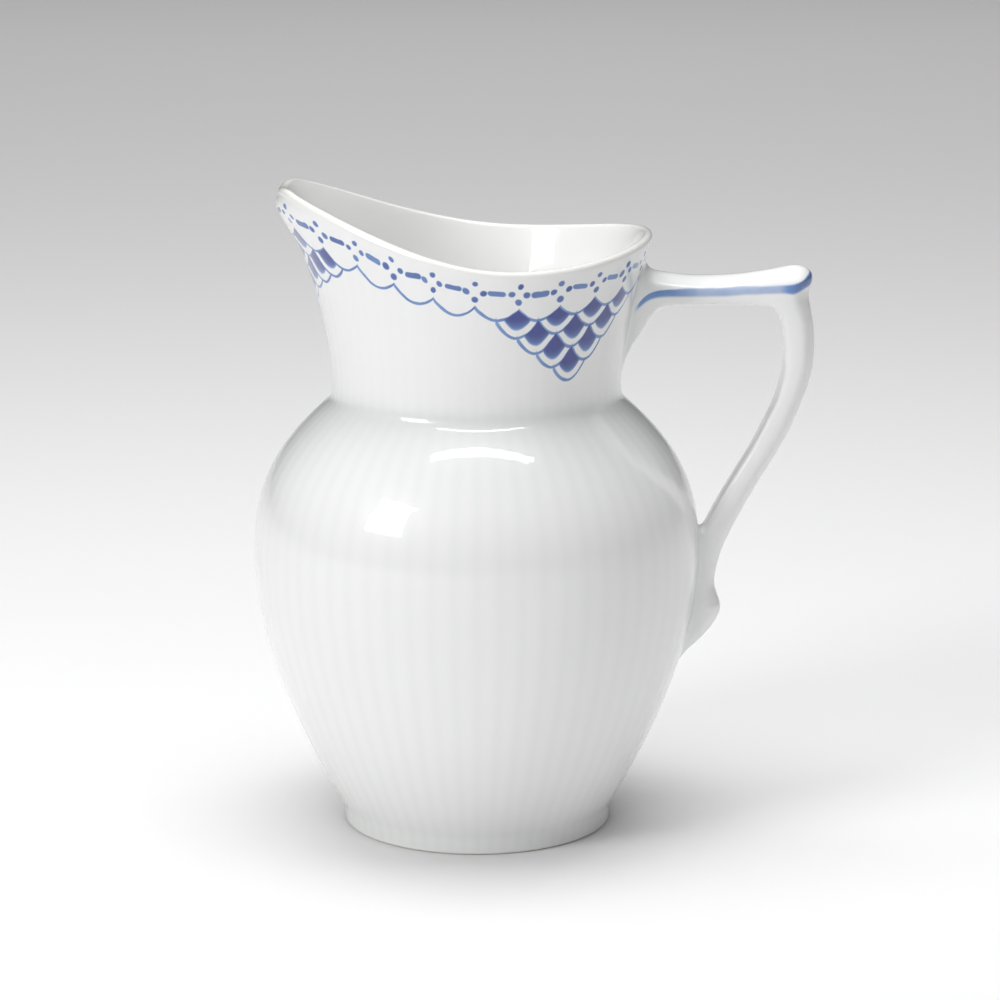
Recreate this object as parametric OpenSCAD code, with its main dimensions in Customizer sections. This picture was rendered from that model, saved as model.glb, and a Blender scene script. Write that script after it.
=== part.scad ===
// Porcelain cream jug: a cast vessel with a drawn-out pouring lip, a moulded handle, and the two
// slip joints that hold the handle on.  Millimetres, +Z up.  The origin is the centre of the foot
// ring on the surface that the jug stands on.  The handle is on +X and the pouring lip on -X.

/* [Foot] */
// Outer radius of the foot ring
foot_r = 23.9; // [22:0.1:26]
// Height at which the belly starts above the upright foot wall
foot_h = 3.2; // [2.5:0.1:5]
// Width of the ring that the jug rests on
foot_ring_w = 2; // [1.5:0.1:4]
// Depth of the recess inside the foot ring
foot_recess = 1.8; // [1:0.1:2.5]

/* [Belly] */
// Largest radius of the belly
belly_r = 39.4; // [37:0.1:42]
// Height of the widest part of the belly
belly_z = 48.6; // [44:0.2:52]
// Fullness of the belly below its widest part
low_fullness = 1.75; // [1.5:0.05:2.2]
// Fullness of the shoulder above the widest part
shoulder_fullness = 2.55; // [2:0.05:3]
// Height of the crease between the shoulder and the neck
crease_z = 76.6; // [74:0.2:78]
// Wall thickness of the belly, normal to the wall
wall = 2.4; // [1.8:0.1:3.2]
// Thickness of the bottom
bottom_t = 3; // [2.4:0.1:4]

/* [Neck and lip] */
// Outer radius of the neck just above the crease
neck_r = 25.6; // [24.5:0.1:27]
// Wall thickness at the rim, whose edge is fully rounded
rim_t = 1.7; // [1.4:0.1:2.4]
// Mean radius of the rim, to the middle of its wall
rim_r = 27.9; // [27:0.1:30]
// How far the rim is shifted towards the handle
rim_shift = 1.9; // [0:0.1:2.5]
// How far the pouring lip reaches past the rim circle
lip_reach = 8.4; // [4:0.1:10]
// Half of the angle round the rim that the pouring lip takes up
lip_half_angle = 90; // [60:1:95]
// How pointed the pouring lip is, seen from above
lip_point = 2.2; // [1:0.1:2.6]
// Lowest height of the rim, beside the handle
rim_low_z = 102.4; // [98:0.2:106]
// Rise of the rim from its lowest point to the handle side
back_rise = 3; // [1:0.1:5]
// Rise of the rim from its lowest point to the pouring lip
lip_rise = 11.8; // [8:0.2:14]
// Droop of the very tip of the pouring lip
lip_droop = 1; // [0:0.1:3]

/* [Handle] */
// Width of the thumb bar
bar_w = 8.8; // [7:0.1:10]
// Width of the grip below the thumb bar
grip_w = 7.8; // [6:0.1:9]
// Width of the tail where it lies on the belly
tail_w = 6.6; // [5.4:0.1:8]
// Height of the flat underside of the thumb bar
bar_bottom_z = 93.5; // [92:0.1:95]
// Lowest height of the crowned top of the thumb bar
bar_top_z = 98.3; // [97:0.1:99]
// Furthest reach of the thumb bar from the axis of the jug
bar_end_x = 58.6; // [56:0.2:60]

/* [Slip joints] */
// Thickness of the slip between the handle and the vessel
slip_t = 0.7; // [0.5:0.05:1]
// How far the slip stands out round the root of the handle
slip_bead = 0.8; // [0.5:0.05:1.2]

/* [Hidden] */
$fn = 96;

porcelain = [0.93, 0.94, 0.94];
porcelain_handle = [0.9, 0.92, 0.93];
slip_white = [0.8, 0.85, 0.9];

eps = 0.01;
profile_step = 2.5;       // height of one band of the belly's profile
crease_step = 0.75;       // the same close to the crease
fine_z = 69;              // where the finer bands start
floor_z = foot_recess + bottom_t;
corner_r = 9;             // rounding between the inside floor and the wall
foot_edge = 0.6;          // rounded outer edge of the foot, as a chamfer
recess_slope = 1;         // how far the inner edge of the foot ring leans in up to the recess
crease_soft = 2.2;        // softness of the crease
collar_z = 80;            // top of the turned part of the vessel
neck_base_z = collar_z - 1;
rim_low_x = 7.5;          // where the rim is lowest
rim_back_x = rim_r + rim_shift;
rim_lip_x = -(rim_r - rim_shift + lip_reach);
droop_length = 2.5;       // how far back from the tip the droop starts
droop_start_x = rim_lip_x + droop_length;
lip_bend = 115;           // how far round its bend, in degrees, the rise of the lip has gone at the tip
back_flare = 1.5;         // how late the neck flares to the rim on the handle side
lip_flare = 1.9;          // the same under the pouring lip
segs = 60;                // segments round the neck
rings = 12;               // rings up the neck

function mix(a, b, u) = a + (b - a) * u;

// ---- turned part: outer and inner radius at a height -------------------------------------
function low_curve(z) =
    belly_r - (belly_r - foot_r) * pow((belly_z - z) / (belly_z - foot_h), low_fullness);
function shoulder_curve(z) =
    belly_r - (belly_r - neck_r) * pow((z - belly_z) / (crease_z - belly_z), shoulder_fullness);
function soft_max(a, b, k) = (a + b + sqrt(pow(a - b, 2) + k * k)) / 2;
function shoulder_neck(z) = soft_max(shoulder_curve(z), neck_r - crease_soft / 8, crease_soft / 2);
function outer_r(z) = z < belly_z ? low_curve(z) : shoulder_neck(z);
function slope(z) = (outer_r(z + 0.1) - outer_r(z - 0.1)) / 0.2;
function corner_in(z) =
    z > floor_z + corner_r ? 0
    : corner_r - sqrt(pow(corner_r, 2) - pow(corner_r - (z - floor_z), 2));
function inner_r(z) = outer_r(z) - wall * sqrt(1 + pow(slope(z), 2)) - corner_in(z);

fine_heights = [for (z = [fine_z : crease_step : collar_z - 0.5]) z];
outer_heights = concat([for (z = [foot_h : profile_step : fine_z - 1]) z], fine_heights);
inner_heights = concat([for (z = [floor_z + eps : profile_step : fine_z - 1]) z], fine_heights);

function outer_profile(d) =
    [for (z = outer_heights, s = [slope(z)])
        [outer_r(z) + d / sqrt(1 + s * s), z - d * s / sqrt(1 + s * s)]];
inner_profile = [for (z = inner_heights) [inner_r(z), z]];

function reversed(list) = [for (i = [len(list) - 1 : -1 : 0]) list[i]];

// ---- neck and pouring lip: middle of the wall at an angle and a share of the height --------
function lip_share(a) =
    abs(a - 180) < lip_half_angle
        ? pow((1 + cos(180 * (a - 180) / lip_half_angle)) / 2, lip_point)
        : 0;
function rim_radius(a) = rim_r + rim_shift * cos(a) + lip_reach * lip_share(a);
function rim_height_x(x) =
    rim_low_z
    + (x > rim_low_x
        ? back_rise * pow((x - rim_low_x) / (rim_back_x - rim_low_x), 2)
        : lip_rise * (1 - cos(lip_bend * (rim_low_x - x) / (rim_low_x - rim_lip_x))) / (1 - cos(lip_bend)))
    - (x < droop_start_x ? lip_droop * pow((droop_start_x - x) / droop_length, 2) : 0);
function rim_height(a) = rim_height_x(rim_radius(a) * cos(a));
function mid_wall(a, t) =
    let (flare = mix(back_flare, lip_flare, (1 - cos(a)) / 2))
    [mix(neck_r - wall / 2, rim_radius(a), pow(t, flare)), mix(neck_base_z, rim_height(a), t)];
function wall_normal(a, t) =
    let (d = mid_wall(a, t + 0.01) - mid_wall(a, max(t - 0.01, 0)))
    t == 0 ? [1, 0] : [d[1], -d[0]] / norm(d);
function wall_point(a, t, offset) =
    let (p = mid_wall(a, t) + offset * wall_normal(a, t)) [p[0] * cos(a), p[0] * sin(a), p[1]];
function half_wall(t) = mix(wall, rim_t, t) / 2;
// A point of the rounded rim: turn 0 is on the outside of the wall, 180 on the inside.
function rim_point(a, turn) =
    let (n = wall_normal(a, 1), up = [-n[1], n[0]],
         p = mid_wall(a, 1) + rim_t / 2 * (cos(turn) * n + sin(turn) * up))
    [p[0] * cos(a), p[0] * sin(a), p[1]];

function ring(t, offset) = [for (i = [0 : segs - 1]) wall_point(360 * i / segs, t, offset)];
function rim_ring(turn) = [for (i = [0 : segs - 1]) rim_point(360 * i / segs, turn)];

// Side faces of a stack of rings with n points each; the last ring is joined to the first one
// where the stack closes on itself.
function skin(n, count, closed) =
    [for (k = [0 : count - (closed ? 1 : 2)], i = [0 : n - 1])
        let (a = k * n, b = ((k + 1) % count) * n, j = (i + 1) % n)
        each [[a + i, b + i, b + j], [a + i, b + j, a + j]]];

// A solid from a stack of rings, closed at both ends.
module stack(list) {
    n = len(list[0]);
    last = (len(list) - 1) * n;
    polyhedron(
        points = [for (r = list) each r],
        faces = concat(
            skin(n, len(list), false),
            [[for (i = [0 : n - 1]) i]],
            [[for (i = [n - 1 : -1 : 0]) last + i]]));
}

module neck_shell() {
    up = [for (k = [0 : rings - 1]) ring(k / rings, half_wall(k / rings))];
    rim = [for (turn = [0 : 30 : 180]) rim_ring(turn)];
    down = [for (k = [rings - 1 : -1 : 0]) ring(k / rings, -half_wall(k / rings))];
    list = concat(up, rim, down);
    polyhedron(points = [for (r = list) each r], faces = skin(segs, len(list), true));
}

// The space inside the neck's outer face, grown by d.
module neck_solid(d) {
    list = [for (k = [0 : rings - 1]) ring(k / rings, half_wall(k / rings) + d)];
    top = (rings - 1) * segs;
    centre = rings * segs;
    polyhedron(
        points = concat([for (r = list) each r], [[0, 0, list[rings - 1][segs / 4][2]]]),
        faces = concat(
            skin(segs, rings, false),
            [[for (i = [0 : segs - 1]) i]],
            [for (i = [0 : segs - 1]) [top + (i + 1) % segs, top + i, centre]]));
}

// The space inside the belly's outer face, grown by d.
module belly_solid(d) {
    side = outer_profile(d);
    rotate_extrude()
        polygon(concat([[0, foot_h]], side, [[0, side[len(side) - 1][1]]]));
}

module vessel() {
    side = outer_profile(0);
    color(porcelain) {
        rotate_extrude()
            polygon(concat(
                [[0, foot_recess], [foot_r - foot_edge - foot_ring_w - recess_slope, foot_recess],
                 [foot_r - foot_edge - foot_ring_w, 0], [foot_r - foot_edge, 0], [foot_r, foot_edge]],
                side,
                [[neck_r, collar_z], [neck_r - wall, collar_z]],
                reversed(inner_profile),
                [[0, floor_z]]));
        neck_shell();
    }
}

// ---- handle ------------------------------------------------------------------------------
// Section of the handle: x is from the inner side to the crowned outer side, y is across.
section = [[-1, 0.7], [-0.8, 1], [0.2, 1], [0.6, 0.72], [0.88, 0.38], [1, 0],
           [0.88, -0.38], [0.6, -0.72], [0.2, -1], [-0.8, -1], [-1, -0.7]];

bar_start_x = 25;
saddle_x = 40;            // where the top of the thumb bar is lowest
root_x = 34;              // where the underside starts to flare down to the neck
root_drop = 7.5;          // how far it flares down
root_run = 6.5;           // length over which the underside drops by root_drop
end_rise = 1.8;           // rise of the bar's top towards its free end
end_run = 16;
back_top_rise = 1.2;      // rise of the bar's top towards the neck
back_top_run = 10;
bar_round = 3;            // rounding of the free end of the thumb bar
bar_steps = 12;
function bar_top(x) =
    bar_top_z
    + (x > saddle_x
        ? end_rise * pow((x - saddle_x) / end_run, 2)
        : back_top_rise * pow((saddle_x - x) / back_top_run, 2));
function bar_bottom(x) = bar_bottom_z - (x < root_x ? root_drop * pow((root_x - x) / root_run, 2) : 0);
function end_share(x) =
    x < bar_end_x - bar_round ? 1 : sqrt(1 - pow((x - bar_end_x + bar_round) / bar_round, 2));
function bar_ring(x, grow) =
    let (top = bar_top(x), bottom = bar_bottom(x), k = mix(0.35, 1, end_share(x)),
         h = k * (top - bottom) / 2 + grow, w = mix(0.6, 1, end_share(x)) * bar_w / 2 + grow)
    [for (p = section) [x, p[1] * w, (top + bottom) / 2 + p[0] * h]];
bar_xs = concat(
    [for (i = [0 : bar_steps]) mix(bar_start_x, bar_end_x - bar_round, i / bar_steps)],
    [for (turn = [30 : 30 : 90]) bar_end_x - bar_round * (1 - sin(turn))]);

// Middle of the grip from the thumb bar to the end of the tail: x, z, thickness.
grip_path = [[55.3, 97, 4.4], [55.8, 92, 5.2], [56.5, 85, 5.4], [55.7, 78, 5.1], [53.1, 72, 4.7],
             [49.8, 66, 4.6], [46.4, 60, 4.6], [43.6, 54.5, 4.5], [41.5, 49, 4.3], [40.3, 44, 4],
             [40.4, 41, 4.6], [39.6, 37, 6.6], [37.6, 33, 5], [35.2, 29.8, 2.4]];
grip_sub = 3;             // rings between two stations
function spline(p, u) =
    let (i = min(floor(u), len(p) - 2), f = u - i,
         a = p[max(i - 1, 0)], b = p[i], c = p[i + 1], d = p[min(i + 2, len(p) - 1)])
    0.5 * (2 * b + (c - a) * f + (2 * a - 5 * b + 4 * c - d) * f * f + (3 * b - a - 3 * c + d) * f * f * f);
function grip_ring(u, grow) =
    let (s = spline(grip_path, u),
         d = spline(grip_path, min(u + 0.1, len(grip_path) - 1)) - spline(grip_path, max(u - 0.1, 0)),
         out = [-d[1], d[0]] / norm([d[0], d[1]]),
         share = u / (len(grip_path) - 1), h = s[2] / 2 + grow,
         w = mix(grip_w, tail_w, share) / 2 + grow)
    [for (p = section) [s[0] + p[0] * h * out[0], p[1] * w, s[1] + p[0] * h * out[1]]];
grip_last = (len(grip_path) - 1) * grip_sub;

module bar(grow = 0) {
    stack([for (x = bar_xs) bar_ring(x, grow)]);
}

module grip(grow = 0) {
    stack([for (i = [0 : grip_last]) grip_ring(i / grip_sub, grow)]);
}

module handle() {
    color(porcelain_handle) difference() {
        union() {
            bar();
            grip();
        }
        neck_solid(slip_t);
        belly_solid(slip_t);
    }
}

module upper_slip_joint() {
    color(slip_white) difference() {
        intersection() {
            bar(slip_bead);
            neck_solid(slip_t);
        }
        neck_solid(0);
    }
}

module lower_slip_joint() {
    color(slip_white) difference() {
        intersection() {
            grip(slip_bead);
            belly_solid(slip_t);
        }
        belly_solid(0);
    }
}

vessel();
handle();
upper_slip_joint();
lower_slip_joint();
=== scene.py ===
"""Porcelain cream jug: the looks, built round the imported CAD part.

Shapes are worked out in millimetres in the part's own frame: +Z up, the handle on +X, the pouring lip on -X, and
the origin under the middle of the foot. MM turns them into Blender's metres. Angles a round the jug are in degrees
and count from the handle, as in the CAD part, whose dimensions the sections below repeat.
"""
import math

import bmesh
import bpy
import numpy as np
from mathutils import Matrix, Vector


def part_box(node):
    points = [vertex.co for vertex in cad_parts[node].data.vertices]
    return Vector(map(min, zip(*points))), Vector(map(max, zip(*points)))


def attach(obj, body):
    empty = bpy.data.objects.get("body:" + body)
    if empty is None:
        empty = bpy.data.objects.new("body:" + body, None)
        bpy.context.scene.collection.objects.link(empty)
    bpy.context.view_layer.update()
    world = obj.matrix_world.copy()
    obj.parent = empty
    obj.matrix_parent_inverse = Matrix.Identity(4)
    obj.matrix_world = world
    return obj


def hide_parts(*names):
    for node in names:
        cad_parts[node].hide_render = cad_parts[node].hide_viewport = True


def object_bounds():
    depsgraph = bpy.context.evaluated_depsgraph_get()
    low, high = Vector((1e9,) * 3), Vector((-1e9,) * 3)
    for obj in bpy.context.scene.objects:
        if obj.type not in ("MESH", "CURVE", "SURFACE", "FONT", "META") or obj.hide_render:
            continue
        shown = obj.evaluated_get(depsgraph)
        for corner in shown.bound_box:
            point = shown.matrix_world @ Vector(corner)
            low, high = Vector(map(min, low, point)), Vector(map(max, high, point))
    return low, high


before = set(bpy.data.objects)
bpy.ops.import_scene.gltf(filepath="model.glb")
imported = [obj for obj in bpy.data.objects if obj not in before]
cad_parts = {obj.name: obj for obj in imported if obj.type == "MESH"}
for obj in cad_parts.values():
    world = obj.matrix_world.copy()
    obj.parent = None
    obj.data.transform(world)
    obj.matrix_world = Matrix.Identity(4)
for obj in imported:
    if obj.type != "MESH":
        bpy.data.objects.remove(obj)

cad_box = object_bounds()
MM = 0.001
ROOT = "root"


def node_box(name):
    """Lowest and highest corner of a CAD node, in millimetres."""
    low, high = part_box(name)
    return np.array(low) / MM, np.array(high) / MM


def mix(a, b, share):
    return a + (b - a) * share


def smoothstep(low, high, x):
    share = np.clip((x - low) / (high - low), 0, 1)
    return share * share * (3 - 2 * share)


def soft_max(a, b, k):
    """The larger of a and b, with a rounding of size k where they cross."""
    return (a + b + np.sqrt((a - b) ** 2 + k * k)) / 2


def soft_min(a, b, k):
    """The smaller of a and b, blended by a fillet that reaches k to each side."""
    h = np.clip(0.5 + 0.5 * (b - a) / k, 0, 1)
    return mix(b, a, h) - k * h * (1 - h)


# ---- vessel: driving dimensions --------------------------------------------------------------
vessel_low, vessel_high = node_box("vessel")
BELLY_R = vessel_high[1]
BELLY_Z = 48.6
LOW_FULLNESS = 1.75
SHOULDER_FULLNESS = 2.55
CREASE_Z = 76.6
CREASE_SOFT = 2.2
FOOT_R = 23.9
FOOT_H = 3.2
FOOT_EDGE = 0.6
FOOT_RING_W = 2.0
FOOT_RECESS = 1.8
WALL = 2.4
FLOOR_Z = 4.8
CORNER_R = 9.0
NECK_R = 25.6
NECK_BASE_Z = 79.0
RIM_T = 1.7
RIM_R = 27.9
RIM_SHIFT = 1.9
LIP_REACH = 8.4
LIP_HALF_ANGLE = 90.0
LIP_POINT = 2.2           # how pointed the lip is, seen from above
RIM_LOW_X = 7.5
RIM_LOW_Z = 102.4
BACK_RISE = 3.0
LIP_RISE = 11.8
LIP_BEND = 115.0          # how far round its bend, in degrees, the lip's rise has gone at the tip
LIP_DROOP = 1.0
DROOP_LENGTH = 2.5
LIP_SWELL = 0.9           # how far the outside of the lip swells out just below its rounded edge
LIP_SWELL_H = 11.0        # and how far down the swelling goes
LIP_ROLL = 1.7            # how far the outside is rounded off towards the edge
LIP_ROLL_H = 2.6          # and the height over which it is
LIP_BACKING = 1.1         # extra thickness inside the tip of the lip
BACK_FLARE = 1.5
LIP_FLARE = 1.9
CREASE_SINK = CREASE_SOFT / 8

FLUTES = 64
FLUTE_DEPTH = 0.018
FLUTE_COLUMNS = 6         # columns of the mesh across one flute


def turned_radius(z):
    """Outer radius of the belly and shoulder at a height, without the neck."""
    below = np.maximum(BELLY_Z - z, 0) / (BELLY_Z - FOOT_H)
    above = np.maximum(z - BELLY_Z, 0) / (CREASE_Z - BELLY_Z)
    low = BELLY_R - (BELLY_R - FOOT_R) * below ** LOW_FULLNESS
    low = soft_max(low, FOOT_R - 0.12, 0.5)
    return np.where(z < BELLY_Z, low, BELLY_R - (BELLY_R - NECK_R) * above ** SHOULDER_FULLNESS)


def body_radius(z):
    """Outer radius up to the neck, with the soft crease under the neck."""
    turned = turned_radius(z)
    return np.where(z < BELLY_Z, turned, soft_max(turned, NECK_R - CREASE_SINK, CREASE_SOFT / 2))


def body_inner_radius(z):
    slope = (body_radius(z + 0.1) - body_radius(z - 0.1)) / 0.2
    rise = np.clip(z - FLOOR_Z, 0, CORNER_R)
    corner = CORNER_R - np.sqrt(CORNER_R ** 2 - (CORNER_R - rise) ** 2)
    return body_radius(z) - WALL * np.sqrt(1 + slope ** 2) - corner


def lip_share(a):
    """1 at the tip of the pouring lip, falling to 0 at its two sides."""
    turn = np.minimum(np.abs((a % 360) - 180), LIP_HALF_ANGLE)
    return ((1 + np.cos(np.pi * turn / LIP_HALF_ANGLE)) / 2) ** LIP_POINT


def rim_radius(a):
    return RIM_R + RIM_SHIFT * np.cos(np.radians(a)) + LIP_REACH * lip_share(a)


RIM_BACK_X = RIM_R + RIM_SHIFT
RIM_LIP_X = -(RIM_R - RIM_SHIFT + LIP_REACH)


def rim_height(a):
    x = rim_radius(a) * np.cos(np.radians(a))
    back = BACK_RISE * ((x - RIM_LOW_X) / (RIM_BACK_X - RIM_LOW_X)) ** 2
    bend = np.radians(LIP_BEND) * (RIM_LOW_X - x) / (RIM_LOW_X - RIM_LIP_X)
    front = LIP_RISE * (1 - np.cos(bend)) / (1 - math.cos(math.radians(LIP_BEND)))
    droop = LIP_DROOP * (np.maximum(RIM_LIP_X + DROOP_LENGTH - x, 0) / DROOP_LENGTH) ** 2
    return RIM_LOW_Z + np.where(x > RIM_LOW_X, back, front) - droop


def mid_wall(a, t):
    """Middle of the neck's wall, as radius and height, at angle a and share t of the way up."""
    flare = mix(BACK_FLARE, LIP_FLARE, (1 - np.cos(np.radians(a))) / 2)
    rise = np.maximum(t, 0) ** flare
    return mix(NECK_R - WALL / 2, rim_radius(a), rise), mix(NECK_BASE_Z, rim_height(a), t)


def wall_normal(a, t):
    r1, z1 = mid_wall(a, t + 0.01)
    r0, z0 = mid_wall(a, t - 0.01)
    length = np.hypot(r1 - r0, z1 - z0)
    return (z1 - z0) / length, -(r1 - r0) / length


def neck_side(a, t, side):
    """The neck's outer (side 1) or inner (side -1) face, sunk to meet the shoulder's soft crease."""
    r, z = mid_wall(a, t)
    nr, nz = wall_normal(a, t)
    half = side * mix(WALL, RIM_T, t) / 2
    r, z = r + half * nr, z + half * nz
    if side > 0:
        sunk = soft_max(turned_radius(z), r - CREASE_SINK, CREASE_SOFT / 2)
    else:
        sunk = r - CREASE_SINK * 0.65
    r = r + lip_change(a, (1 - t) * (rim_height(a) - NECK_BASE_Z), side)
    return mix(sunk, r, smoothstep(0, 0.4, t)), z


def lip_change(a, below, side):
    """How far the lip's outer (side 1) or inner (side -1) face is moved out at a depth below the rim."""
    swell = 1 - smoothstep(LIP_ROLL_H, LIP_SWELL_H, below)
    if side < 0:
        return -LIP_BACKING * lip_share(a) ** 10 * swell
    rolled = (np.maximum(LIP_ROLL_H - below, 0) / LIP_ROLL_H) ** 2
    return lip_share(a) ** 2 * (LIP_SWELL * swell - LIP_ROLL * rolled)


def neck_rim(a, turn):
    """The rounded rim: turn goes from 0 on the outside to 180 degrees on the inside."""
    r, z = mid_wall(a, 1.0)
    nr, nz = wall_normal(a, 1.0)
    c, s = RIM_T / 2 * math.cos(math.radians(turn)), RIM_T / 2 * math.sin(math.radians(turn))
    change = mix(lip_change(a, 0, -1), lip_change(a, 0, 1), (1 + math.cos(math.radians(turn))) / 2)
    return r + c * nr - s * nz + change, z + c * nz + s * nr


# ---- mesh helpers ----------------------------------------------------------------------------
def object_from(name, points, faces, smooth=True):
    """A mesh object from points in millimetres."""
    mesh = bpy.data.meshes.new(name)
    mesh.from_pydata((np.asarray(points) * MM).tolist(), [], [list(f) for f in faces])
    mesh.polygons.foreach_set("use_smooth", [smooth] * len(mesh.polygons))
    mesh.update()
    piece = bpy.data.objects.new(name, mesh)
    bpy.context.scene.collection.objects.link(piece)
    return piece


def store(piece, name, values):
    """Keeps one number per point, for the materials."""
    attribute = piece.data.attributes.new(name, "FLOAT", "POINT")
    attribute.data.foreach_set("value", np.asarray(values, np.float32))


def finish_piece(piece, material, slot, *nodes):
    piece.data.materials.append(material)
    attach(piece, ROOT)
    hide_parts(*nodes)


# ---- materials -------------------------------------------------------------------------------
class Graph:
    """A material's nodes. Its methods take numbers or Num values and return Num values."""

    def __init__(self, name):
        self.material = bpy.data.materials.new(name)
        self.material.use_nodes = True
        self.tree = self.material.node_tree
        self.tree.nodes.clear()
        self.shader = self.tree.nodes.new("ShaderNodeBsdfPrincipled")
        output = self.tree.nodes.new("ShaderNodeOutputMaterial")
        self.tree.links.new(self.shader.outputs["BSDF"], output.inputs["Surface"])

    def put(self, socket, value):
        if isinstance(value, Num):
            value = value.socket
        if isinstance(value, bpy.types.NodeSocket):
            self.tree.links.new(value, socket)
        else:
            socket.default_value = value

    def math(self, operation, *values, clamp=False):
        node = self.tree.nodes.new("ShaderNodeMath")
        node.operation = operation
        node.use_clamp = clamp
        for socket, value in zip(node.inputs, values):
            self.put(socket, value)
        return Num(self, node.outputs[0])

    def attribute(self, name):
        node = self.tree.nodes.new("ShaderNodeAttribute")
        node.attribute_name = name
        return Num(self, node.outputs["Fac"])

    def position(self):
        """Object coordinates in millimetres, as three values."""
        place = self.tree.nodes.new("ShaderNodeTexCoord").outputs["Object"]
        parts = self.tree.nodes.new("ShaderNodeSeparateXYZ")
        self.tree.links.new(place, parts.inputs[0])
        return [Num(self, s) / MM for s in parts.outputs]

    def noise(self, size, detail=2.0, seed=0.0):
        """Noise from -1 to 1 whose patches are about size millimetres wide."""
        node = self.tree.nodes.new("ShaderNodeTexNoise")
        node.noise_dimensions = "4D"
        self.tree.links.new(self.tree.nodes.new("ShaderNodeTexCoord").outputs["Object"], node.inputs["Vector"])
        node.inputs["Scale"].default_value = 1 / (size * MM)
        node.inputs["Detail"].default_value = detail
        node.inputs["W"].default_value = seed
        return Num(self, node.outputs[0]) * 2 - 1

    def chance(self, place):
        """A random number from -1 to 1, the same wherever place is the same."""
        node = self.tree.nodes.new("ShaderNodeTexWhiteNoise")
        node.noise_dimensions = "1D"
        self.put(node.inputs["W"], place)
        return Num(self, node.outputs["Value"]) * 2 - 1

    def step(self, low, high, value):
        """0 below low, 1 above high, and smooth between them. low may be above high."""
        node = self.tree.nodes.new("ShaderNodeMapRange")
        node.interpolation_type = "SMOOTHSTEP"
        for socket, v in zip(node.inputs[:5], (value, low, high, 0.0, 1.0)):
            self.put(socket, v)
        return Num(self, node.outputs[0])

    def blend(self, share, a, b):
        """Colour a turning into colour b as share goes from 0 to 1."""
        node = self.tree.nodes.new("ShaderNodeMix")
        node.data_type = "RGBA"
        self.put(node.inputs[0], share)
        for socket, colour in ((node.inputs[6], a), (node.inputs[7], b)):
            self.put(socket, (*colour, 1.0) if isinstance(colour, tuple) else colour)
        return node.outputs[2]

    def bump(self, height, distance):
        node = self.tree.nodes.new("ShaderNodeBump")
        node.inputs["Distance"].default_value = distance * MM
        self.put(node.inputs["Height"], height)
        self.tree.links.new(node.outputs[0], self.shader.inputs["Normal"])
        self.tree.links.new(node.outputs[0], self.shader.inputs["Coat Normal"])


class Num:
    """A number that varies over the surface. Sums and products of it are Math nodes."""

    def __init__(self, graph, socket):
        self.graph, self.socket = graph, socket

    def __add__(self, other): return self.graph.math("ADD", self, other)
    def __radd__(self, other): return self.graph.math("ADD", other, self)
    def __sub__(self, other): return self.graph.math("SUBTRACT", self, other)
    def __rsub__(self, other): return self.graph.math("SUBTRACT", other, self)
    def __mul__(self, other): return self.graph.math("MULTIPLY", self, other)
    def __rmul__(self, other): return self.graph.math("MULTIPLY", other, self)
    def __truediv__(self, other): return self.graph.math("DIVIDE", self, other)
    def __abs__(self): return self.graph.math("ABSOLUTE", self)
    def root(self): return self.graph.math("SQRT", self)
    def round(self): return self.graph.math("ROUND", self)
    def above(self, other): return self.graph.math("GREATER_THAN", self, other)
    def below(self, other): return self.graph.math("LESS_THAN", self, other)
    def most(self, other): return self.graph.math("MAXIMUM", self, other)
    def least(self, other): return self.graph.math("MINIMUM", self, other)
    def wrap(self, low, high): return self.graph.math("WRAP", self, high, low)


PORCELAIN = (0.87, 0.875, 0.87)
PAINTED_SHADE_TONE = (0.79, 0.815, 0.80)        # painted shade: a darker glaze tone for creases, flute valleys, the shoulder, the foot and the handle's roots
RIM_CREAM = (0.87, 0.865, 0.835)    # glaze run thin over the rim
BISCUIT = (0.70, 0.665, 0.60)       # bare fired clay of the foot ring
INSIDE_PAINTED_LIGHT = (0.93, 0.93, 0.92)         # painted light: a whiter glaze tone that makes the inside show brighter
BLUE_WASH = (0.17, 0.31, 0.61)
BLUE_DEEP = (0.033, 0.048, 0.26)


def glaze(graph, painted_shade, blue, cream=0.0, bare=0.0, inside=0.0):
    """Clear glossy glaze over white clay. The shares say how much of each shows."""
    cloud = graph.noise(14, 3)
    speck = graph.noise(1.1, 2, 4.0)
    white = graph.blend(cloud * 0.5 + 0.5, PORCELAIN, tuple(c * 0.975 for c in PORCELAIN))
    # Painted light: the inside is given a whiter tone so that it shows brighter.
    white = graph.blend(inside, white, INSIDE_PAINTED_LIGHT)
    white = graph.blend(cream, white, RIM_CREAM)
    # Painted shade: a darker glaze tone blended in where shade should fall.
    white = graph.blend(painted_shade, white, PAINTED_SHADE_TONE)
    wash = graph.blend(graph.step(0.25, 1.0, blue), BLUE_WASH, BLUE_DEEP)
    colour = graph.blend(graph.step(0.0, 0.4, blue), white, wash)
    colour = graph.blend(bare, colour, BISCUIT)
    graph.put(graph.shader.inputs["Base Color"], colour)
    graph.put(graph.shader.inputs["Roughness"], 0.30 + bare * 0.45 + speck * 0.02 if isinstance(bare, Num)
              else speck * 0.02 + 0.30)
    graph.put(graph.shader.inputs["Coat Weight"], 1.0)
    graph.put(graph.shader.inputs["Coat Roughness"], 0.025)
    graph.put(graph.shader.inputs["Coat IOR"], 1.52)
    graph.put(graph.shader.inputs["Specular IOR Level"], 0.3)
    graph.bump(cloud * 0.6 + graph.noise(5, 2, 9.0) * 0.4, 0.02)
    return graph.material


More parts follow.
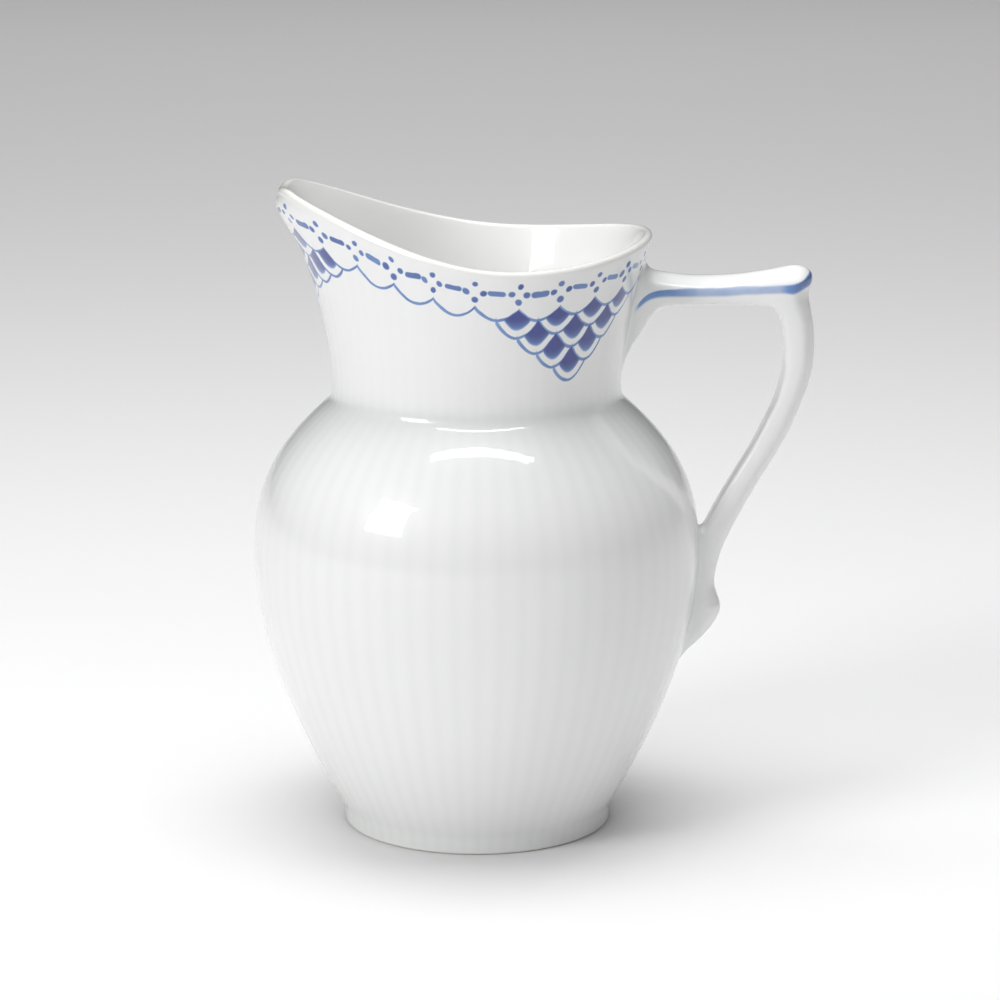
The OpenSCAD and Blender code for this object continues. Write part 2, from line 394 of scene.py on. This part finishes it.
# ---- painted border --------------------------------------------------------------------------
# A plain border of dots, a festoon line and hanging triangles of fish scales. Places are in millimetres along the
# wall, v below the rim and u round the neck in units of one festoon.
FESTOONS = 24
FESTOON_W = 2 * math.pi * 28.6 / FESTOONS
GROUPS = 3                # fish-scale triangles round the neck
GROUP_AT = 307.0          # angle of one of them
SCALE_ROWS = 4
CUSP_V = 7.0
FESTOON_DROP = 2.0
SCALE_DROP = 2.95
LINE_T = 0.36
DOT_V = 4.2
DOT_R = 0.6
DOT_SPREAD = 1.35         # from the middle of a diamond of dots to each of them
DASH_HALF = 1.0


def painted_border(graph):
    """How much cobalt blue lies on the outside of the neck."""
    x, y, _ = graph.position()
    below = graph.attribute("below_rim")
    sway = graph.noise(6, 1, 2.0)
    shake = graph.noise(1.6, 1, 5.0)
    load = graph.noise(3.2, 2, 11.0)
    angle = graph.math("ARCTAN2", y, x) * (180 / math.pi)
    v = below + sway * 0.35 + shake * 0.12
    period = FESTOONS / GROUPS
    along = (angle - GROUP_AT) * (FESTOONS / 360) + graph.noise(5, 1, 7.0) * 0.05
    u = along.wrap(-period / 2, period / 2)
    lap = (along - u).round()

    def arc(row):
        """Height of a row's hanging arc, the place across its scale and the scale's place in the row."""
        shift = 0.5 if row % 2 else 0.0
        centre = (u - shift).round() + shift
        across = u - centre
        drop = SCALE_DROP if row else FESTOON_DROP
        top = CUSP_V + (FESTOON_DROP + SCALE_DROP * (row - 1) if row else 0)
        hang = (1 - across * across * 4) * drop + top
        tilt = across * (8 * drop / FESTOON_W)
        return hang, across, abs(centre), (1 + tilt * tilt).root()

    def brushed(distance, across):
        """A line that is broader and paler on its left, where the brush was set down."""
        width = (shake * 0.25 + 1.0 - across * 0.7) * LINE_T
        return graph.step(width, width * 0.3, abs(distance)) * (load * 0.25 + 0.5 + across * 0.25)

    hang, across, _, steep = arc(0)
    ink = brushed((v - hang) / steep, across)
    above = hang
    for row in range(1, SCALE_ROWS + 1):
        hang, across, place, steep = arc(row)
        inside = place.below((SCALE_ROWS - row) / 2 + 0.1)
        outline = brushed((v - hang) / steep, across)
        room = v.above(above) * v.below(hang)
        depth = (hang - v) / (SCALE_DROP + FESTOON_DROP * 0.5)
        fill = graph.step(0.26, 0.48, depth + shake * 0.06 - across * across * 1.5)
        density = graph.step(0.25, 0.95, depth) * 0.42 + 0.58 + load * 0.1
        ink = ink.most(outline * inside).most(room * inside * fill * density)
        above = hang

    def dot(column, du, dv, half=0.0):
        """A dab of the brush beside the middle of its column, a dash where half is not 0."""
        centre = (u - column).round() + column
        dab = centre + lap + (du * 3 + dv * 7) / 100
        nudge, size = graph.chance(dab), graph.chance(dab + 50)
        across = (u - centre) * FESTOON_W - du - nudge * 0.16
        down = (v - DOT_V - dv - size * 0.14) * 1.1 + across * nudge * 0.2
        reach = (abs(across) - half).most(0.0)
        reach = (reach * reach + down * down).root() - shake * 0.1
        radius = (size * 0.14 + 1.0) * DOT_R
        return graph.step(radius * 1.2, radius * 0.6, reach) * (0.74 + nudge * 0.14)

    dots = dot(0.0, 0.0, 0.0, DASH_HALF) * 0.9
    for du, dv in ((DOT_SPREAD, 0), (-DOT_SPREAD, 0), (0, DOT_SPREAD), (0, -DOT_SPREAD)):
        dots = dots.most(dot(0.5, du, dv))
    return ink.most(dots * (load * 0.25 + 0.95)) * below.above(0.0)


def vessel_material():
    graph = Graph("glazed_porcelain_painted")
    _, _, z = graph.position()
    below = graph.attribute("below_rim")
    return glaze(
        graph,
        painted_shade=graph.attribute("painted_shade"),
        blue=painted_border(graph),
        cream=graph.step(1.5, 0.7, abs(below)) * 0.8,
        bare=graph.step(0.35, 0.15, z),
        # painted light: a whiter tone inside the neck and body
        inside=graph.step(-0.8, -1.6, below),
    )


# ---- vessel ----------------------------------------------------------------------------------
def flute_angles():
    count = FLUTES * FLUTE_COLUMNS
    return np.arange(count) * 360 / count


def valley(a):
    """1 in the middle of the valley between two flutes, falling smoothly to 0 on their crests."""
    return ((1 + np.cos(np.radians(a * FLUTES))) / 2) ** 1.5


# Where the handle is stuck on, the flutes run out: height and half the height of each place
ROOTS = ((93.0, 9.0), (42.0, 15.0))
ROOT_HALF_ANGLE = 14.0


def flute_depth(a, z, below_rim):
    depth = FLUTE_DEPTH * smoothstep(4, 9, z) * smoothstep(6, 12, below_rim)
    turn = np.abs((a + 180) % 360 - 180)
    for height, half in ROOTS:
        near = (1 - smoothstep(0.5, 1, turn / ROOT_HALF_ANGLE)) * (1 - smoothstep(0.7, 1.2, np.abs(z - height) / half))
        depth = depth * (1 - near)
    return depth


def arc_points(centre_r, centre_z, radius, turns):
    return [(centre_r + radius * math.cos(math.radians(t)), centre_z + radius * math.sin(math.radians(t)))
            for t in turns]


def vessel_rows(a):
    """The vessel's rings from the middle of the foot, up the outside, over the rim and down to the middle of the
    inside floor: a list of (kind, radius, height)."""
    ones = np.ones_like(a)
    rows = []
    ring_in = FOOT_R - FOOT_EDGE - FOOT_RING_W
    for r in (3, 8, 13, 17, ring_in - 1.8):
        rows.append(("foot", r * ones, FOOT_RECESS * ones))
    for r, z in arc_points(ring_in - 1.1, FOOT_RECESS - 0.5, 0.5, (75, 45, 15)):
        rows.append(("foot", r * ones, z * ones))
    for r, z in arc_points(ring_in + 0.25, 0.5, 0.5, (195, 225, 250, 270)):
        rows.append(("foot", r * ones, z * ones))
    for r, z in arc_points(FOOT_R - FOOT_EDGE - 0.05, FOOT_EDGE, FOOT_EDGE, (-90, -65, -40, -20, -5)):
        rows.append(("foot", r * ones, z * ones))
    for z in np.concatenate([np.arange(1.0, FOOT_H + 2, 0.5), np.arange(FOOT_H + 2.4, 70, 1.0),
                             np.arange(70, NECK_BASE_Z - 0.2, 0.4)]):
        rows.append(("outside", body_radius(z) * ones, z * ones))
    for t in np.concatenate([np.linspace(0, 0.2, 12), np.linspace(0.23, 0.985, 32)]):
        rows.append(("outside", *neck_side(a, t, 1)))
    for turn in range(0, 181, 15):
        rows.append(("rim", *neck_rim(a, turn)))
    for t in np.linspace(0.97, 0, 24):
        rows.append(("inside", *neck_side(a, t, -1)))
    for z in np.concatenate([np.arange(NECK_BASE_Z - 0.8, 70, -0.8), np.arange(70, FLOOR_Z + CORNER_R, -1.8)]):
        rows.append(("inside", body_inner_radius(z) * ones, z * ones))
    for share in np.linspace(1, 0, 10)[:-1]:
        z = FLOOR_Z + CORNER_R * share * share
        rows.append(("inside", body_inner_radius(np.array(z)) * ones, z * ones))
    edge = float(body_inner_radius(np.array(FLOOR_Z)))
    for share in (0.98, 0.75, 0.5, 0.25, 0.1):
        rows.append(("inside", edge * share * ones, FLOOR_Z * ones))
    return rows


def make_vessel():
    a = flute_angles()
    rows = vessel_rows(a)
    r = np.array([row[1] for row in rows])
    z = np.array([row[2] for row in rows])
    kinds = [row[0] for row in rows]
    rim = [i for i, kind in enumerate(kinds) if kind == "rim"]
    crest = rim[len(rim) // 2]
    length = np.vstack([np.zeros_like(a), np.cumsum(np.hypot(np.diff(r, axis=0), np.diff(z, axis=0)), axis=0)])
    below = length[crest] - length
    outside = np.array([kind == "outside" for kind in kinds])[:, None]
    r = r - outside * flute_depth(a, z, below) * valley(a)
    turn = np.radians(a)
    columns = len(a)
    points = np.stack([r * np.cos(turn), r * np.sin(turn), z], axis=-1).reshape(-1, 3)
    faces = []
    for i in range(len(rows) - 1):
        for j in range(columns):
            k = (j + 1) % columns
            faces.append((i * columns + j, i * columns + k, (i + 1) * columns + k, (i + 1) * columns + j))
    bottom, top = len(points), len(points) + 1
    points = np.vstack([points, [0, 0, FOOT_RECESS], [0, 0, FLOOR_Z]])
    last = (len(rows) - 1) * columns
    for j in range(columns):
        k = (j + 1) % columns
        faces.append((bottom, k, j))
        faces.append((top, last + j, last + k))
    piece = object_from("vessel_porcelain", points, faces)
    store(piece, "below_rim", np.append(below.ravel(), [999, -999]))
    # Painted shade, kept as a share per point: darker in the crease under the neck, low on the foot, on the shoulder
    # under the neck and in the flute valleys.
    near_crease = np.exp(-((z - CREASE_Z - 0.5) / 1.6) ** 2) * outside
    near_foot = (1 - smoothstep(1.0, 5.0, z)) * outside
    under_neck = smoothstep(62, 76, z) * (1 - smoothstep(78, 81, z)) * outside
    in_flutes = valley(a) * outside * mix(0.34, 0.10, smoothstep(74, 84, z))
    store(piece, "painted_shade", np.append((near_crease * 0.5 + near_foot * 0.35 + under_neck * 0.4 + in_flutes).ravel(),
                                     [0, 0]))
    finish_piece(piece, vessel_material(), "vessel_porcelain", "vessel")
    return piece


# ---- handle ----------------------------------------------------------------------------------
# The handle is worked out as a distance field: an outline in the upright plane through the jug's axis, given as
# (x, z), with flat sides, a crowned top and outer face, and a fillet where it meets the vessel.
_, handle_high = node_box("handle")
BAR_END_X = handle_high[0]
OUTER_LINE = [
    (23, 101.2), (27, 100.3), (30.5, 99.3), (35.5, 98.5), (40, 98.3), (46, 98.6), (52, 99.5), (55.4, 100.1),
    (57.4, 99.7), (58.5, 98.6), (58.6, 97.2), (58.2, 95.8), (58.1, 94.5), (58.5, 92.4), (59.1, 88.7), (59.2, 84),
    (58.7, 80.4), (57.4, 76.2), (55.3, 71.1), (52.9, 66.6), (50.2, 62.1), (46.8, 56.1), (44.2, 50.8),
    (42.8, 46.8), (42.3, 43.4), (42.7, 41.2), (43.4, 38.8), (42.6, 36.3), (40.2, 33.1), (36.8, 29.9), (33, 26.6),
]
INNER_LINE = [
    (22, 80), (26, 85.4), (28.5, 88.3), (29.5, 89.9), (30.4, 91.3), (31.6, 92.6), (33.4, 93.35), (36.5, 93.5),
    (42, 93.5), (48, 93.5), (50.6, 93.3), (52, 92.6), (52.9, 91.2), (53.5, 88.5), (53.9, 82.6), (52.7, 77.1),
    (50.9, 72.9), (48.3, 67.7), (45.4, 62.8), (42.6, 58), (40.6, 54.2), (39.5, 51.6), (38.6, 49), (37.8, 45.5),
    (37, 40), (35.4, 34.5), (33, 28.5), (29.5, 23.5),
]
BAR_HALF_W = 4.4
GRIP_HALF_W = 3.9
TAIL_HALF_W = 3.3
TAIL_TIP_HALF_W = 1.3
CROWN = 1.9               # how far the crowned face falls towards its edges
CROWN_AT_END = 0.9        # what it falls more at the free end of the bar
EDGE_SOFT = 0.9
FILLET = 2.6              # reach of the fillet between the bar and the neck
TAIL_FILLET = 1.7         # the same between the grip and the belly
SLIP_T = 0.7              # thickness of the slip between the handle and the vessel
ROOT_DEPTH = 0.6          # how far the pieces reach into the vessel's wall, out of sight
CAP_DEPTH = 0.3           # how deep the hidden faces lie between the handle and its slip joints
NET_STEP = 0.28


def spline(line, parts=6):
    """A smooth line through the points."""
    p = np.array(line, float)
    out = []
    for i in range(len(p) - 1):
        a, b, c, d = p[max(i - 1, 0)], p[i], p[i + 1], p[min(i + 2, len(p) - 1)]
        for u in np.arange(parts) / parts:
            out.append(0.5 * (2 * b + (c - a) * u + (2 * a - 5 * b + 4 * c - d) * u ** 2
                              + (3 * b - a - 3 * c + d) * u ** 3))
    return np.array(out + [p[-1]])


def side_of(line, x, z):
    """Distance from a line in the upright plane, positive on its left."""
    nearest, side = np.full(x.shape, np.inf), np.zeros(x.shape)
    for (ax, az), (dx, dz) in zip(line[:-1], np.diff(line, axis=0)):
        qx, qz = x - ax, z - az
        along = np.clip((qx * dx + qz * dz) / (dx * dx + dz * dz), 0, 1)
        away = np.hypot(qx - along * dx, qz - along * dz)
        closer = away < nearest
        nearest = np.where(closer, away, nearest)
        side = np.where(closer, dx * qz - dz * qx, side)
    return np.where(side > 0, nearest, -nearest)


def look_up(table, row, column):
    """A value between the entries of a table, whose rows and columns may be fractions."""
    row = np.clip(row, 0, table.shape[0] - 1.001)
    column = np.clip(column, 0, table.shape[1] - 1.001)
    i, j = row.astype(int), column.astype(int)
    u, v = row - i, column - j
    return mix(mix(table[i, j], table[i + 1, j], u), mix(table[i, j + 1], table[i + 1, j + 1], u), v)


# Distances from the two lines, worked out once on a fine grid in the upright plane
PLANE_LOW = np.array([21.0, 22.0])
PLANE_HIGH = np.array([62.0, 107.0])
PLANE_STEP = 0.125
PLANE = np.meshgrid(*(np.arange(low, high, PLANE_STEP) for low, high in zip(PLANE_LOW, PLANE_HIGH)), indexing="ij")
OUTER_SIDE = side_of(spline(OUTER_LINE), *PLANE)
INNER_SIDE = side_of(spline(INNER_LINE), *PLANE)


def in_plane(table, x, z):
    return look_up(table, (x - PLANE_LOW[0]) / PLANE_STEP, (z - PLANE_LOW[1]) / PLANE_STEP)


def half_width(z):
    grip = mix(TAIL_HALF_W, GRIP_HALF_W, smoothstep(45, 85, z))
    grip = mix(grip, BAR_HALF_W, smoothstep(88, 95, z))
    return mix(TAIL_TIP_HALF_W, grip, np.sqrt(np.clip((z - 29) / 10, 0.0, 1)))


def crown_fall(x, y, z):
    across = np.minimum(np.abs(y) / half_width(z), 1.15)
    return (CROWN + CROWN_AT_END * smoothstep(46, 57, x) * smoothstep(90, 95, z)) * across ** 2


def handle_distance(p):
    x, y, z = p.T
    outer = in_plane(OUTER_SIDE, x, z) + crown_fall(x, y, z)
    inner = -in_plane(INNER_SIDE, x, z)
    side = np.abs(y) - half_width(z)
    return soft_max(soft_max(outer, side, EDGE_SOFT), inner, EDGE_SOFT) - EDGE_SOFT * 0.12


NECK_ANGLES = np.linspace(-25, 25, 11)
NECK_HEIGHTS = np.linspace(NECK_BASE_Z, 108, 200)
NECK_SHARES = np.linspace(0, 1.0, 120)
NECK_TABLE = np.array([np.interp(NECK_HEIGHTS, *neck_side(a, NECK_SHARES, 1)[::-1]) for a in NECK_ANGLES])


def outer_radius(a, z):
    """Outer radius of the vessel near the handle."""
    row = (a - NECK_ANGLES[0]) / (NECK_ANGLES[1] - NECK_ANGLES[0])
    column = (z - NECK_BASE_Z) / (NECK_HEIGHTS[1] - NECK_BASE_Z)
    neck = look_up(NECK_TABLE, row, column)
    return np.where(z < NECK_BASE_Z, body_radius(np.minimum(z, NECK_BASE_Z)), neck)


def vessel_distance(p):
    """Distance outside the vessel's outer face."""
    x, y, z = p.T
    a = np.degrees(np.arctan2(y, x))
    slope = (outer_radius(a, z + 0.2) - outer_radius(a, z - 0.2)) / 0.4
    return (np.hypot(x, y) - outer_radius(a, z)) / np.sqrt(1 + slope ** 2)


def fillet(z):
    return mix(TAIL_FILLET, FILLET, smoothstep(60, 80, z))


def joined(p, sink=0.0):
    """Distance from the handle and the vessel blended into each other, with the vessel's face sunk a little."""
    return soft_min(handle_distance(p), vessel_distance(p) + sink, fillet(p[:, 2]))


def handle_solid(p):
    """The handle with its slip joints: what stands out of the vessel, and a little of it inside the wall."""
    handle, vessel, reach = handle_distance(p), vessel_distance(p), fillet(p[:, 2])
    sink = 0.02 + 0.12 * smoothstep(0.45, 0.95, handle / reach)
    solid = soft_min(handle, vessel + sink, reach)
    return np.maximum(np.maximum(solid, -(vessel + ROOT_DEPTH)), handle - 0.97 * reach)


def gradient(field, p, step=0.02):
    return np.stack([(field(p + step * e) - field(p - step * e)) / (2 * step) for e in np.eye(3)], axis=-1)


def surface_net(field, low, high, step):
    """Points and quads on the surface where a field is zero, one point for each cell of a grid that it passes."""
    axes = [np.arange(a, b, step) for a, b in zip(low, high)]
    grid = np.stack(np.meshgrid(*axes, indexing="ij"), axis=-1)
    values = field(grid.reshape(-1, 3)).reshape(grid.shape[:3])
    inside = values < 0
    cells = np.array(values.shape) - 1
    corners = [np.array(c) for c in np.ndindex(2, 2, 2)]
    count = sum(inside[c[0]:c[0] + cells[0], c[1]:c[1] + cells[1], c[2]:c[2] + cells[2]].astype(int) for c in corners)
    active = (count > 0) & (count < 8)
    place = np.argwhere(active)
    total, crossings = np.zeros(place.shape), np.zeros(len(place))
    for corner in corners:
        for axis in np.flatnonzero(corner == 0):
            edge = np.eye(3, dtype=int)[axis]
            start, end = values[tuple((place + corner).T)], values[tuple((place + corner + edge).T)]
            cut = (start < 0) != (end < 0)
            share = np.where(cut, start / np.where(cut, start - end, 1), 0)
            total += cut[:, None] * (corner + share[:, None] * edge)
            crossings += cut
    points = np.array(low) + (place + total / crossings[:, None]) * step
    index = np.full(cells, -1)
    index[active] = np.arange(len(place))
    quads = []
    for axis in range(3):
        e, u, v = (np.eye(3, dtype=int)[(axis + k) % 3] for k in range(3))
        first = inside[tuple(slice(None, -1) if k == axis else slice(1, -1) for k in range(3))]
        second = inside[tuple(slice(1, None) if k == axis else slice(1, -1) for k in range(3))]
        at = np.argwhere(first != second) + (1 - e)
        loop = np.stack([index[tuple((at - d).T)] for d in (0 * u, u, u + v, v)], axis=-1)
        out = inside[tuple(at.T)]
        quads += [loop[out], loop[~out][:, ::-1]]
    return points, np.vstack(quads)


def settle(field, points, rounds=4):
    """Moves points onto the surface where the field is zero."""
    for _ in range(rounds):
        slope = gradient(field, points)
        move = field(points)[:, None] * slope / np.maximum((slope ** 2).sum(-1, keepdims=True), 0.25)
        points = points - np.clip(move, -NET_STEP / 2, NET_STEP / 2)
    return points


STRIPE_W = 1.3
STRIPE_END_X = 28.0       # where the stripe fades out beside the neck


def stripe_place(p):
    """0 at the upper edge of the bar's painted stripe and 1 at its lower edge."""
    x, y, z = p.T
    edge = 98.2 + 1.8 * (np.maximum(x - 40, 0) / 16) ** 2 - 2.4 * (np.maximum(32 - x, 0) / 4.8) ** 2
    edge = edge - crown_fall(x, y, np.maximum(z, 96)) - 1.2 * smoothstep(55.5, 58.6, x)
    return (edge - z) / (STRIPE_W * (1 + 0.6 * smoothstep(53.5, 56.5, x)))


def handle_material(name):
    graph = Graph(name)
    place = graph.attribute("stripe") + graph.noise(4, 1, 3.0) * 0.10
    x, _, _ = graph.position()
    root = graph.step(40, 30, x)
    end = graph.step(52, 57.5, x)
    density = root * 0.16 + end * 0.42 + 0.24 + graph.noise(3, 2, 6.0) * 0.05
    ink = graph.step(0.0, 0.22, place) * graph.step(1.3, 0.7, place) * density
    ink = ink * graph.step(STRIPE_END_X - 0.9, STRIPE_END_X + 0.6, x)
    return glaze(graph, painted_shade=graph.attribute("painted_shade"), blue=ink)


def make_handle():
    low, high = (24.5, -7.6, 26.5), (BAR_END_X + 1.2, 7.6, 104.5)
    points, quads = surface_net(handle_solid, low, high, NET_STEP)
    points = settle(handle_solid, points)
    away = vessel_distance(points)
    normals = gradient(joined, points)
    buried = away < -0.1
    normals[buried] = gradient(handle_solid, points[buried])
    normals /= np.linalg.norm(normals, axis=1, keepdims=True)
    # Painted shade in the fillets where the handle meets the vessel, fading out along the handle.
    near_handle = 1 - smoothstep(0.3, 0.9, handle_distance(points) / fillet(points[:, 2]))
    painted_shade = 0.75 * (1 - smoothstep(0.2, 3.0, away)) * near_handle
    stripe = stripe_place(points)
    in_slip = (away[quads] < SLIP_T).all(axis=1)
    upper = points[quads][:, :, 2].mean(axis=1) > 70
    pieces = {
        "handle_porcelain": (~in_slip, "handle", "handle_porcelain"),
        "upper_slip_fillet": (in_slip & upper, "upper_slip_joint", "slip"),
        "lower_slip_fillet": (in_slip & ~upper, "lower_slip_joint", "slip"),
    }
    for name, (chosen, node, slot) in pieces.items():
        used, faces = np.unique(quads[chosen], return_inverse=True)
        piece = object_from(name, points[used], faces.reshape(-1, 4))
        store(piece, "painted_shade", painted_shade[used])
        store(piece, "stripe", stripe[used])
        all_normals = close_holes(piece, normals[used])
        piece.data.normals_split_custom_set_from_vertices(all_normals.tolist())
        finish_piece(piece, handle_material("glazed_" + name), slot, node)


def close_holes(piece, normals):
    """Turns a piece's open edges inwards and closes them there, between the two pieces that meet, and returns the
    normals with those of the new points."""
    work = bmesh.new()
    work.from_mesh(piece.data)
    edges = [e for e in work.edges if len(e.link_faces) == 1]
    made = bmesh.ops.extrude_edge_only(work, edges=edges)["geom"]
    work.verts.ensure_lookup_table()
    fresh = [v for v in made if isinstance(v, bmesh.types.BMVert)]
    for vert in fresh:
        old = next(e.other_vert(vert) for e in vert.link_edges if e.other_vert(vert) not in fresh)
        vert.co = vert.co - Vector(normals[old.index]) * CAP_DEPTH * MM
    rim = [e for e in made if isinstance(e, bmesh.types.BMEdge) and len(e.link_faces) == 1]
    cap = bmesh.ops.holes_fill(work, edges=rim, sides=0)["faces"]
    bmesh.ops.triangulate(work, faces=cap)
    work.normal_update()
    inner = [tuple(v.normal) for v in fresh]
    work.to_mesh(piece.data)
    work.free()
    return np.vstack([normals, inner]) if inner else normals


make_vessel()
make_handle()

# ---- floor, light and camera -----------------------------------------------------------------
def soft_floor():
    graph = Graph("studio_floor")
    graph.put(graph.shader.inputs["Base Color"], (0.86, 0.86, 0.86, 1.0))
    graph.put(graph.shader.inputs["Roughness"], 0.9)
    graph.put(graph.shader.inputs["Specular IOR Level"], 0.1)
    size = 6.0
    low = cad_box[0][2]
    mesh = bpy.data.meshes.new("studio_floor")
    mesh.from_pydata([(-size, -size, low), (size, -size, low), (size, size, low), (-size, size, low)], [], [(0, 1, 2, 3)])
    floor = bpy.data.objects.new("studio_floor", mesh)
    bpy.context.scene.collection.objects.link(floor)
    mesh.materials.append(graph.material)


def softbox(name, place, target, width, height, radiance):
    """An area light of a given radiance, so that its glint is as bright whatever its size."""
    light = bpy.data.lights.new(name, "AREA")
    light.shape = "RECTANGLE"
    light.size, light.size_y = width, height
    light.energy = radiance * math.pi * width * height
    lamp = bpy.data.objects.new(name, light)
    bpy.context.scene.collection.objects.link(lamp)
    lamp.location = place
    lamp.rotation_euler = (Vector(target) - Vector(place)).to_track_quat("-Z", "Y").to_euler()
    lamp.visible_camera = False
    return lamp


def on_sphere(azimuth, elevation, distance):
    """A point seen from the jug at an azimuth to the right of the camera and an elevation, in degrees."""
    az, el = math.radians(azimuth), math.radians(elevation)
    return (distance * math.sin(az) * math.cos(el), -distance * math.cos(az) * math.cos(el),
            0.05 + distance * math.sin(el))


def lights():
    """Soft light from above, in front and behind, and one softbox to the left. The strip above only adds its glint."""
    softbox("side_softbox", on_sphere(-50, 29, 1.0), (0, 0, 0.06), 0.34, 0.38, 9.2)
    soft = [
        softbox("near_top", (0, 0, 0.55), (0, 0, 0), 0.5, 0.4, 2.2),
        softbox("wide_top", (0, 0.1, 1.4), (0, 0.1, 0), 1.3, 1.0, 2.2),
        softbox("floor_behind", (0, 1.6, 1.0), (0, 1.6, 0), 3.0, 1.2, 0.62),
        softbox("floor_in_front", (0, -1.6, 1.0), (0, -1.6, 0), 3.0, 1.2, 0.96),
    ]
    for lamp in soft:
        lamp.visible_glossy = False
    strip = softbox("glint_strip", (0.03, -0.236, 1.05), (0.03, -0.236, 0), 0.76, 0.07, 12.0)
    strip.visible_diffuse = False
    world = bpy.data.worlds.new("studio")
    world.use_nodes = True
    background = world.node_tree.nodes["Background"]
    background.inputs["Color"].default_value = (1, 1, 1, 1)
    background.inputs["Strength"].default_value = 0.13
    bpy.context.scene.world = world


def camera():
    data = bpy.data.cameras.new("camera")
    data.sensor_width = 36.0
    data.lens = 127.6
    data.clip_end = 50
    cam = bpy.data.objects.new("camera", data)
    bpy.context.scene.collection.objects.link(cam)
    cam.location = (0.0, -0.612, 0.1971)
    cam.rotation_euler = (math.radians(90 - 12.80), 0.0, math.radians(-0.385))
    bpy.context.scene.camera = cam


soft_floor()
lights()
camera()
bpy.context.scene.view_settings.view_transform = "Standard"
